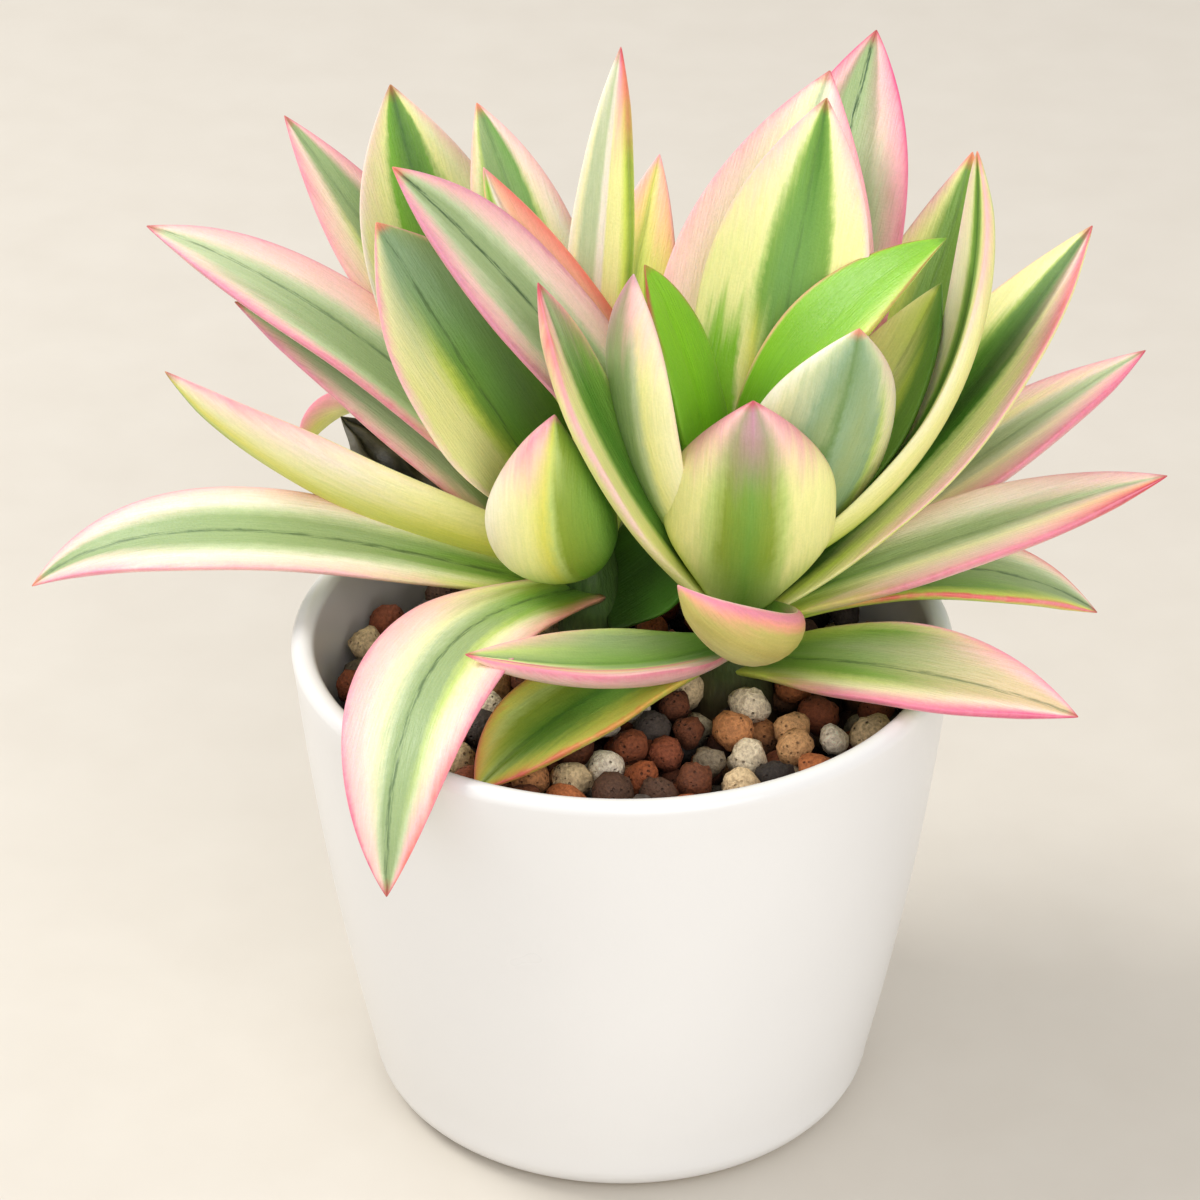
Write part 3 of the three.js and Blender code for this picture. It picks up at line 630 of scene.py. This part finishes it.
SLOTS = {part["node"]: part["material_slot"] for part in frame["record"]["subparts"]}
RIGHT_LEAVES = {
    "right_leaf_centre_large": (
        dict(height=90, azimuth=60, rise=68, tip_rise=66, swing=6, length=67, width=28, widest=0.5),
        dict(root="-1 lime, -0.5 grass, -0.2 leaf, 0.16 leaf, 0.3 canary, 0.42 butter, 0.5 fresh, "
                  "0.82 fresh, 0.92 butter, 1 butter",
             middle="-1 shell, -0.9 butter, -0.5 butter, -0.4 leaf, -0.12 jade, 0.14 jade, 0.32 leaf, "
                    "0.46 butter, 1 butter",
             tip="-1 blush, -0.8 shell, -0.5 cream, -0.34 leaf, -0.1 moss, 0.2 leaf, 0.42 cream, "
                 "0.8 shell, 1 blush",
             turn=(0.4, 0.56), apex="russet", rim="blush", streak=0.09)),
    "right_leaf_young_left": (
        dict(height=88, azimuth=160, rise=86, tip_rise=64, length=48, width=15, roll=-4, curl=15,
             point=3.4),
        dict(root="-1 lime, 1 fresh",
             middle="-1 grass, 0 fresh, 1 grass",
             tip="-1 russet, -0.85 fresh, 0.85 fresh, 1 russet",
             apex="russet", rim=None, midline=0.0, streak=0.04, gloss=0.36, body=0.3)),
    "right_leaf_young_right": (
        dict(height=88, azimuth=16, rise=96, tip_rise=22, length=61, width=18, roll=12, curl=15),
        dict(root="-1 lime, 0.3 lime, 1 fresh",
             middle="-1 lime, -0.5 fresh, 0.4 grass, 0.9 fresh, 1 peach",
             tip="-1 spring, -0.7 fresh, 0.6 grass, 0.86 fresh, 1 russet",
             apex="moss", rim="russet", midline=0.0, streak=0.05, gloss=0.36, body=0.3)),
    "right_leaf_front_broad": (
        dict(height=83, azimuth=-82, rise=56, tip_rise=98, length=40, width=28, roll=-10, curl=45,
             widest=0.42, base=0.42, point=2.6, thickness=5, reach=4),
        dict(root="-1 lime, -0.5 spring, 0 leaf, 0.5 spring, 1 lime",
             middle="-1 butter, -0.5 butter, -0.24 olive, 0 leaf, 0.2 olive, 0.42 butter, 1 butter",
             tip="-1 pink, -0.6 blush, -0.3 dusky, 0 mauve, 0.25 dusky, 0.5 blush, 1 pink",
             flush=(0.62, 0.96), streak=0.07)),
    "right_leaf_inner_white_edged": (
        dict(height=86, azimuth=-22, rise=58, tip_rise=82, length=47, width=24, roll=-55, curl=35,
             point=2.4),
        dict(root="-1 lime, -0.5 spring, 0 leaf, 0.5 spring, 1 lime",
             middle="-1 ivory, -0.75 cream, -0.5 pale_sage, -0.34 sea, -0.16 sage, -0.04 deep_sage, "
                    "0.08 sea, 0.25 sage, 0.5 sea, 0.74 cream, 1 ivory",
             tip="-1 ivory, -0.7 pale_sage, -0.3 sea, -0.05 deep_sage, 0.3 sea, 0.6 pale_sage, 1 shell",
             apex="coral", rim="shell", midline=0.6, streak=0.16)),
    "right_leaf_purple_tip": (
        dict(height=85, azimuth=200, rise=50, tip_rise=100, swing=14, length=57, width=18, curl=35,
             widest=0.6),
        dict(root="-1 lime, -0.3 leaf, 0.1 lime, 0.5 butter, 1 butter",
             middle="-1 shell, -0.85 pale_sage, -0.3 sage, 0.25 sage, 0.42 pale_sage, 0.56 butter, "
                    "1 cream",
             tip="-1 pink, -0.5 mauve, 0 dusky, 0.4 blush, 1 shell",
             apex="mauve", rim="blush", flush=(0.7, 0.96))),
    "right_leaf_pink_edged": (
        dict(height=88, azimuth=176, rise=58, tip_rise=45, bend=1.3, length=79, width=19, roll=-25,
             curl=20, widest=0.6, point=2.5),
        dict(root="-1 cream, -0.5 spring, -0.2 olive, 0.2 olive, 0.5 butter, 1 blush",
             middle="-1 orchid, -0.9 blush, -0.6 shell, -0.42 pale_sage, -0.25 sage, 0.36 sage, "
                    "0.55 pale_sage, 0.72 shell, 0.9 blush, 1 orchid",
             tip="-1 orchid, -0.75 blush, -0.4 pale_sage, -0.2 sage, 0.2 sage, 0.4 pale_sage, "
                 "0.7 blush, 1 orchid",
             apex="coral", rim="orchid", midline=0.9, streak=0.14)),
    "right_leaf_coral_edged": (
        dict(height=90, azimuth=163, rise=46, tip_rise=68, length=68, width=17, roll=-30, curl=20),
        dict(middle="-1 coral, -0.8 salmon, -0.5 peach, -0.25 olive, 0 spring, 0.25 ivory, 0.6 ivory, "
                    "0.75 grass, 1 spring",
             tip="-1 coral, -0.6 salmon, -0.2 peach, 0.2 ivory, 0.6 grass, 1 spring",
             apex="pink", rim="salmon")),
    "right_leaf_on_edge": (
        dict(height=80, azimuth=-152, rise=49, tip_rise=76, bend=0.8, swing=-15, length=67, width=15,
             roll=-34, curl=30, widest=0.6, base=0.3),
        dict(root="-1 olive, -0.3 moss, 0.05 leaf, 0.35 lime, 1 butter",
             middle="-1 spring, -0.85 leaf, -0.2 moss, 0.1 leaf, 0.28 spring, 0.42 butter, "
                    "0.85 butter, 1 shell",
             tip="-1 pink, -0.6 dusky, -0.1 sage, 0.3 blush, 0.8 pink, 1 coral",
             flush=(0.68, 1.0))),
    "right_leaf_small_yellow": (
        dict(height=87, azimuth=27, rise=35, tip_rise=67, length=51, width=18, roll=14),
        dict(root="-1 leaf, -0.55 leaf, -0.35 lime, 0 butter, 1 butter",
             middle="-1 leaf, -0.65 leaf, -0.45 lime, -0.1 butter, 1 butter",
             tip="-1 moss, -0.3 leaf, 0.1 lime, 1 butter",
             apex="moss", rim=None)),
    "right_leaf_pink_widest": (
        dict(height=85, azimuth=81, rise=64, tip_rise=42, swing=-16, length=78, width=34, curl=20,
             point=1.9),
        dict(root="-1 butter, -0.5 lime, 0 leaf, 0.4 spring, 0.7 butter, 1 cream",
             middle="-1 blush, -0.5 cream, -0.2 pale_sage, 0.2 pale_sage, 0.45 cream, 0.8 shell, "
                    "1 blush",
             tip="-1 pink, -0.5 shell, 0 pale_sage, 0.3 cream, 0.75 shell, 0.9 blush, 1 pink")),
    "right_leaf_pink_tallest": (
        dict(height=79, azimuth=67, rise=60, tip_rise=29, swing=8, length=96, width=28, roll=-3,
             curl=20),
        dict(root="-1 butter, -0.5 spring, 0 sage, 0.5 spring, 1 butter",
             middle="-1 pink, -0.86 blush, -0.62 pale_sage, -0.45 sage, 0.45 sage, 0.6 pale_sage, "
                    "0.72 blush, 0.9 pink, 1 magenta",
             tip="-1 magenta, -0.88 pink, -0.55 blush, -0.4 dusky, -0.1 sage, 0.3 sage, 0.45 dusky, "
                 "0.65 blush, 0.9 pink, 1 magenta",
             midline=1.0, rim="magenta")),
    "right_leaf_far_curved": (
        dict(height=85, azimuth=-4, rise=25, tip_rise=104, swing=54, length=81, width=18, roll=-26,
             point=2.4),
        dict(root="-1 butter, -0.4 lime, 0.1 leaf, 0.5 leaf, 1 lime",
             middle="-1 cream, -0.85 butter, -0.45 butter, -0.3 leaf, -0.05 leaf, 0.02 moss, "
                    "0.16 leaf, 0.36 cream, 1 ivory",
             tip="-1 blush, -0.7 butter, -0.4 leaf, 0.0 moss, 0.2 leaf, 0.45 cream, 1 shell",
             rim="blush", apex="coral")),
    "right_leaf_dark_striped": (
        dict(height=79, azimuth=15, rise=37, tip_rise=60, swing=-2, length=78, width=22, roll=16),
        dict(root="-1 butter, -0.75 lime, -0.5 forest, 0.5 forest, 0.8 moss, 1 leaf",
             middle="-1 blush, -0.88 shell, -0.75 butter, -0.5 butter, -0.32 moss, -0.1 forest, "
                    "0.2 moss, 0.38 leaf, 0.55 butter, 1 cream",
             tip="-1 coral, -0.8 pink, -0.5 shell, -0.3 dusky, -0.1 deep_sage, 0.3 deep_sage, "
                 "0.5 cream, 1 butter",
             under="-1 butter, -0.3 butter, -0.12 shell, 0.05 blush, 0.2 pink, 1 spring",
             streak=0.09)),
    "right_leaf_far_back": (
        dict(height=81, azimuth=51, rise=14, tip_rise=70, swing=3, length=81, width=22, roll=24),
        dict(root="-1 lime, 0 leaf, 1 lime",
             middle="-1 butter, -0.7 canary, -0.4 leaf, 0.2 leaf, 0.4 lime, 0.8 canary, 1 butter",
             tip="-1 peach, -0.7 canary, -0.3 leaf, 0.3 leaf, 0.6 butter, 1 blush",
             apex="coral", rim="blush")),
    "right_leaf_spreading_low": (
        dict(height=78, azimuth=-8, rise=28, tip_rise=20, swing=6, length=67, width=17, roll=12),
        dict(root="-1 lime, -0.6 olive, 0 leaf, 0.6 olive, 1 lime",
             middle="-1 pink, -0.9 blush, -0.7 shell, -0.4 cream, -0.22 pale_sage, -0.08 sage, "
                    "0.22 sage, 0.36 pale_sage, 0.6 ivory, 1 shell",
             tip="-1 crimson, -0.75 coral, -0.4 peach, -0.1 shell, 0.1 pale_sage, 0.3 shell, "
                 "0.8 blush, 1 pink",
             flush=(0.55, 1.0))),
    "right_leaf_spreading_high": (
        dict(height=77, azimuth=20, rise=29, tip_rise=22, swing=8, length=74, width=20, roll=-3),
        dict(root="-1 lime, -0.5 spring, 0 leaf, 0.5 spring, 1 lime",
             middle="-1 pink, -0.88 blush, -0.5 cream, -0.3 pale_sage, -0.14 sage, 0.2 sage, "
                    "0.34 pale_sage, 0.5 butter, 0.85 shell, 1 blush",
             tip="-1 magenta, -0.85 pink, -0.4 blush, -0.15 pale_sage, 0.15 pale_sage, 0.4 shell, "
                 "0.8 blush, 1 pink",
             flush=(0.6, 1.0))),
    "right_leaf_drooping": (
        dict(height=76, azimuth=6, rise=34, tip_rise=-36, length=57, width=16, roll=10, widest=0.55),
        dict(root="-1 lime, 0 moss, 1 lime",
             middle="-1 coral, -0.93 lime, -0.7 leaf, 0.3 sage, 0.5 pale_sage, 0.7 cream, 0.9 shell, "
                    "1 pink",
             tip="-1 coral, -0.85 canary, -0.4 sage, 0.2 sage, 0.5 pale_sage, 0.8 shell, 1 coral",
             midline=0.7)),
    "right_leaf_small_rolled": (
        dict(height=79, azimuth=-48, rise=0, tip_rise=58, swing=-145, length=43, width=14, roll=20,
             twist=35, curl=60, widest=0.5, base=0.5, point=2.8),
        dict(root="-1 leaf, 1 leaf",
             middle="-1 pink, -0.8 blush, -0.5 leaf, 0.5 leaf, 0.8 pink, 1 shell",
             tip="-1 pink, 1 pink",
             under="-1 cream, -0.4 butter, 0.2 straw, 0.6 straw, 0.78 salmon, 0.9 pink, 1 pink",
             under_tip="-1 cream, -0.5 straw, 0.3 straw, 0.65 salmon, 0.85 pink, 1 pink",
             rim="shell", apex="pink", flush=(0.62, 0.95))),
    "right_leaf_low_boat": (
        dict(height=74, azimuth=-119, rise=15, tip_rise=18, swing=-52, length=51, width=14, roll=-7,
             curl=50),
        dict(root="-1 leaf, 1 moss",
             middle="-1 spring, -0.8 sage, 0.05 leaf, 0.32 sage, 0.42 spring, 0.5 pink, 0.64 peach, "
                    "0.82 shell, 1 blush",
             tip="-1 blush, -0.5 spring, 0 sage, 0.3 cream, 0.42 magenta, 0.55 pink, 0.75 peach, "
                 "1 pink",
             under="-1 olive, -0.2 cream, 0.2 shell, 0.7 shell, 0.9 blush, 1 pink",
             flush=(0.5, 0.95))),
    "right_leaf_over_rim": (
        dict(height=71, azimuth=-45, rise=24, tip_rise=-3, bend=1.2, swing=15, length=61, width=18,
             roll=15),
        dict(root="-1 lime, -0.5 leaf, 0.5 leaf, 1 lime",
             middle="-1 pink, -0.88 blush, -0.72 cream, -0.5 spring, -0.34 leaf, 0.4 sage, 0.75 leaf, "
                    "0.92 spring, 1 blush",
             tip="-1 magenta, -0.85 pink, -0.6 shell, -0.3 tan, 0.4 tan, 0.75 blush, 1 pink",
             flush=(0.35, 0.9), midline=0.6)),
    "right_leaf_on_bed": (
        dict(height=73, azimuth=-143, rise=8, tip_rise=-14, swing=16, length=52, width=19, widest=0.55),
        dict(root="-1 olive, 0 moss, 1 lime",
             middle="-1 amber, -0.85 canary, -0.45 olive, 0 moss, 0.4 leaf, 0.7 lime, 0.92 canary, "
                    "1 amber",
             tip="-1 coral, -0.8 amber, -0.35 canary, 0.1 olive, 0.5 canary, 0.85 amber, 1 coral",
             flush=(0.7, 1.0), apex="coral", rim="coral", streak=0.16)),
    "right_leaf_back_1": (dict(height=78, azimuth=100, rise=24, tip_rise=10, length=58, width=16), {}),
    "right_leaf_back_2": (dict(height=75, azimuth=76, rise=14, tip_rise=2, length=60, width=17), {}),
    "right_leaf_back_3": (dict(height=76, azimuth=45, rise=16, tip_rise=-4, length=54, width=17), {}),
}
grow(RIGHT_LEAVES, RIGHT_STEM)

# -------------------------------------------------------------------- Left rosette
# Eighteen leaves round the left stem, of the same kind. Two hang down past the bed, and
# one low leaf at the left is thin, wrinkled and painted nearly black as painted shade, for the deep
# shade in the gap below the leaves over it.
LEFT_LEAVES = {
    "left_leaf_narrow_keeled": (
        dict(height=88, azimuth=70, rise=86, tip_rise=74, length=74, width=11, curl=50, widest=0.5),
        dict(root="-1 spring, 0 lime, 1 butter",
             middle="-1 olive, -0.85 lime, -0.6 butter, -0.1 butter, 0 ivory, 0.12 ivory, "
                    "0.25 pale_sage, 0.7 pale_sage, 0.85 cream, 1 ivory",
             tip="-1 coral, -0.6 pink, -0.2 blush, 0 ivory, 0.3 pale_sage, 1 ivory",
             flush=(0.72, 1.0), rim=None, streak=0.05, midline=0.0)),
    "left_leaf_inner_broad": (
        dict(height=89, azimuth=193, rise=59, tip_rise=64, swing=-12, length=59, width=26, roll=-50,
             point=2.3),
        dict(root="-1 moss, -0.4 leaf, -0.05 grass, 0.15 lime, 0.4 butter, 1 butter",
             middle="-1 tan, -0.92 leaf, -0.5 deep_sage, -0.15 jade, 0.1 leaf, 0.24 lime, 0.4 butter, "
                    "0.9 butter, 1 shell",
             tip="-1 tan, -0.85 sage, -0.3 sea, 0.3 sea, 0.5 pale_sage, 0.8 cream, 1 blush",
             apex="coral", midline=0.6, flush=(0.48, 0.9))),
    "left_leaf_young_cupped": (
        dict(height=83, azimuth=-106, rise=14, tip_rise=120, swing=-4, length=41, width=21, roll=22,
             curl=40, widest=0.45, base=0.45, thickness=4),
        dict(root="-1 butter, -0.2 lime, 0.2 grass, 1 moss",
             middle="-1 ivory, -0.6 cream, -0.3 butter, -0.08 canary, 0.12 olive, 0.6 leaf, 0.85 moss, "
                    "1 olive",
             tip="-1 blush, -0.6 pink, -0.25 blush, 0.0 canary, 0.3 olive, 1 leaf",
             flush=(0.66, 0.96), apex="pink", rim="blush", streak=0.08)),
    "left_leaf_back_tall": (
        dict(height=88, azimuth=124, rise=82, tip_rise=49, length=66, width=18, roll=-10, curl=20,
             point=2.4),
        dict(middle="-1 blush, -0.8 ivory, -0.55 cream, -0.38 jade, 0.6 jade, 0.8 cream, 1 ivory",
             tip="-1 blush, -0.6 shell, -0.4 jade, 0.5 sage, 0.8 cream, 1 peach",
             apex="coral", rim="blush")),
    "left_leaf_back_broad": (
        dict(height=88, azimuth=136, rise=38, tip_rise=70, swing=-10, length=73, width=26, roll=-21,
             point=2.5),
        dict(root="-1 butter, -0.4 grass, 0.3 grass, 0.5 butter, 1 butter",
             middle="-1 shell, -0.9 cream, -0.4 butter, -0.34 grass, -0.16 moss, 0.1 leaf, 0.38 grass, "
                    "0.46 butter, 0.9 butter, 1 ivory",
             tip="-1 blush, -0.7 cream, -0.5 butter, -0.4 leaf, 0 moss, 0.4 grass, 0.55 butter, "
                 "1 shell",
             apex="russet", rim="shell")),
    "left_leaf_back_outer": (
        dict(height=86, azimuth=137, rise=40, tip_rise=38, length=80, width=17, roll=-13, curl=20),
        dict(middle="-1 blush, -0.7 shell, -0.45 deep_sage, 0.25 sage, 0.45 cream, 0.8 shell, 1 blush",
             tip="-1 pink, -0.7 blush, -0.4 sage, 0.2 sage, 0.5 shell, 1 pink")),
    "left_leaf_short_yellow": (
        dict(height=82, azimuth=74, rise=60, tip_rise=48, length=63, width=15),
        dict(root="-1 lime, 0 leaf, 1 lime",
             middle="-1 peach, -0.85 canary, -0.3 lime, 0.1 olive, 0.4 lime, 0.8 butter, 1 blush",
             tip="-1 salmon, -0.5 peach, 0 canary, 0.5 peach, 1 blush",
             apex="pink", rim="blush")),
    "left_leaf_outer_upper": (
        dict(height=81, azimuth=162, rise=56, tip_rise=13, length=85, width=19, roll=-6, curl=15,
             widest=0.58, base=0.35, point=2.5),
        dict(middle="-1 pink, -0.92 blush, -0.45 shell, -0.25 pale_sage, -0.05 sage, 0.6 sage, "
                    "0.8 pale_sage, 0.92 blush, 1 pink",
             tip="-1 orchid, -0.85 blush, -0.4 shell, -0.1 pale_sage, 0.4 pale_sage, 0.7 shell, "
                 "0.9 blush, 1 orchid",
             rim="orchid", midline=0.6)),
    "left_leaf_far_left": (
        dict(height=82, azimuth=179, rise=12, tip_rise=45, swing=4, length=70, width=16, roll=54,
             curl=30, widest=0.45, base=0.5),
        dict(root="-1 ivory, 1 cream",
             middle="-1 blush, -0.6 ivory, 0 cream, 0.6 butter, 1 butter",
             tip="-1 blush, 0 shell, 1 blush",
             # The olive at the -1 edge of the under and under_root bands is a painted shadow line along
             # the leaf's lower edge.
             under="-1 olive, -0.9 lime, -0.6 canary, -0.25 canary, 0.1 butter, 0.4 cream, 0.75 ivory, "
                   "1 shell",
             under_tip="-1 leaf, -0.5 olive, -0.1 canary, 0.3 cream, 0.7 shell, 1 pink",
             under_root="-1 olive, -0.85 lime, -0.5 canary, 0.3 canary, 0.8 butter, 1 butter",
             flush=(0.45, 1.0), apex="russet", rim="blush", turn=(0.25, 0.7))),
    "left_leaf_outer_lower": (
        dict(height=77, azimuth=159, rise=53, tip_rise=20, swing=6, length=69, width=16, roll=-24,
             curl=20, widest=0.5, base=0.3),
        dict(root="-1 moss, 1 leaf",
             middle="-1 olive, -0.5 sage, 0 pale_sage, 0.65 pale_sage, 0.85 shell, 0.94 blush, 1 pink",
             tip="-1 olive, 0 sage, 0.5 pale_sage, 0.85 blush, 1 orchid",
             rim="orchid")),
    "left_leaf_arching": (
        dict(height=77, azimuth=188, rise=18, tip_rise=-42, bend=2.6, swing=-12, length=87, width=17,
             roll=-18, curl=20, widest=0.62, base=0.3),
        dict(root="-1 lime, -0.6 spring, -0.3 leaf, 0.3 leaf, 0.6 spring, 1 lime",
             middle="-1 blush, -0.88 shell, -0.66 ivory, -0.48 pale_sage, -0.3 sage, 0.3 sage, "
                    "0.48 pale_sage, 0.66 ivory, 0.88 shell, 1 blush",
             tip="-1 orchid, -0.85 blush, -0.55 shell, -0.3 sage, 0.25 sage, 0.5 shell, 0.85 blush, "
                 "1 orchid",
             midline=0.7, apex="coral")),
    "left_leaf_hanging": (
        dict(height=78, azimuth=-130, rise=16, tip_rise=-84, bend=2.5, swing=38, length=81, width=21,
             curl=12, widest=0.5, base=0.5),
        dict(root="-1 blush, -0.8 butter, -0.5 olive, -0.1 leaf, 0.4 leaf, 0.7 olive, 1 salmon",
             middle="-1 pink, -0.9 blush, -0.6 shell, -0.36 cream, -0.2 pale_sage, -0.06 sage, "
                    "0.28 sage, 0.42 spring, 0.58 cream, 0.78 shell, 0.93 blush, 1 pink",
             tip="-1 magenta, -0.85 blush, -0.5 shell, -0.28 pale_sage, -0.12 sage, 0.35 sage, "
                 "0.5 pale_sage, 0.75 blush, 1 coral",
             midline=0.7)),
    "left_leaf_drooping": (
        dict(height=73, azimuth=146, rise=58, tip_rise=-84, bend=1.9, swing=3, length=71, width=12,
             roll=26),
        dict(middle="-1 lime, -0.2 canary, 0.4 butter, 0.8 blush, 1 pink",
             tip="-1 lime, 0.3 canary, 1 pink")),
    # The next leaf's near-black char and ash bands are painted shade, standing for the deep shade in
    # its gap, not the leaf's own colour.
    "left_leaf_withered": (
        dict(height=72, azimuth=152, rise=30, tip_rise=26, swing=-5, length=49, width=18, roll=-16,
             curl=30, thickness=2, wrinkle=0.8),
        dict(root="-1 ash, 0 char, 1 char",
             middle="-1 ash, -0.7 char, -0.5 ash, -0.35 char, -0.05 ash, 0.08 char, 0.35 char, "
                    "0.5 dusky, 0.58 char, 1 ash",
             tip="-1 ash, -0.5 char, 0 ash, 0.3 char, 1 ash",
             apex=None, rim=None, midline=0.0, gloss=0.5, body=0.0, streak=0.32)),
    # The next leaf is green, painted dark forest and moss as painted shade for the deep shade between
    # the two rosettes.
    "left_leaf_low_inner": (
        dict(height=76, azimuth=-8, rise=34, tip_rise=56, length=25, width=19, roll=34, base=0.75,
             widest=0.42),
        dict(root="-1 forest, 1 forest",
             middle="-1 moss, 0 forest, 1 moss",
             tip="-1 olive, 0 forest, 1 olive",
             apex=None, rim=None, midline=0.0)),
    "left_leaf_back_1": (dict(height=79, azimuth=96, rise=26, tip_rise=34, length=60, width=17), {}),
    "left_leaf_back_2": (dict(height=76, azimuth=120, rise=20, tip_rise=10, length=60, width=16), {}),
    "left_leaf_back_3": (dict(height=77, azimuth=70, rise=16, tip_rise=4, length=56, width=15), {}),
}
grow(LEFT_LEAVES, LEFT_STEM)

# --------------------------------------------------------------- Floor and daylight
# A plain pale floor, wide soft light from the upper left and an even sky. The camera
# stands half a metre off, looking down on the pot from the front.
FLOOR_REACH = 4.0
floor_finish = Finish("pale_floor")
floor_grain = floor_finish.noise(floor_finish.place(), 60.0, 3.0)
floor_look = floor_finish.done(
    floor_finish.blend(floor_grain, tint("cfc8bd"), tint("d6d0c6")), 0.7 + floor_grain * 0.1)
floor_mesh = bpy.data.meshes.new("floor")
floor_corners = [(x * FLOOR_REACH, y * FLOOR_REACH, 0) for x, y in ((-1, -1), (1, -1), (1, 1), (-1, 1))]
floor_mesh.from_pydata(floor_corners, [], [(0, 1, 2, 3)])
floor_mesh.materials.append(floor_look)
floor = bpy.data.objects.new("floor", floor_mesh)
bpy.context.scene.collection.objects.link(floor)


def lamp(name, place, size, power, colour):
    """A round soft lamp that faces the plant's middle."""
    light = bpy.data.lights.new(name, "AREA")
    light.shape = "DISK"
    light.size = size
    light.energy = power
    light.color = colour
    holder = bpy.data.objects.new(name, light)
    holder.location = place
    aim = Vector((0, 0, 0.08)) - holder.location
    holder.rotation_mode = "QUATERNION"
    holder.rotation_quaternion = aim.to_track_quat("-Z", "Y")
    bpy.context.scene.collection.objects.link(holder)


lamp("window_light", (-0.55, 0.15, 0.75), 0.45, 5.4, (1.0, 0.985, 0.95))
lamp("front_fill", (0.35, -0.9, 0.5), 0.9, 5.3, (1.0, 0.99, 0.98))
world = bpy.data.worlds.new("soft_sky")
world.use_nodes = True
sky = world.node_tree.nodes["Background"]
sky.inputs["Color"].default_value = (1.0, 0.99, 0.98, 1)
sky.inputs["Strength"].default_value = 0.76
bpy.context.scene.world = world
bpy.context.scene.view_settings.view_transform = "Standard"

camera_data = bpy.data.cameras.new("camera")
camera_data.lens = 135
camera_data.sensor_width = 36
camera_data.clip_start = 0.01
camera = bpy.data.objects.new("camera", camera_data)
camera.location = (0, -0.584444, 0.423639)
camera_aim = Vector((-0.00501786, 0.8638296, -0.50375911))
camera.rotation_mode = "QUATERNION"
camera.rotation_quaternion = camera_aim.to_track_quat("-Z", "Y")
bpy.context.scene.collection.objects.link(camera)
bpy.context.scene.camera = camera
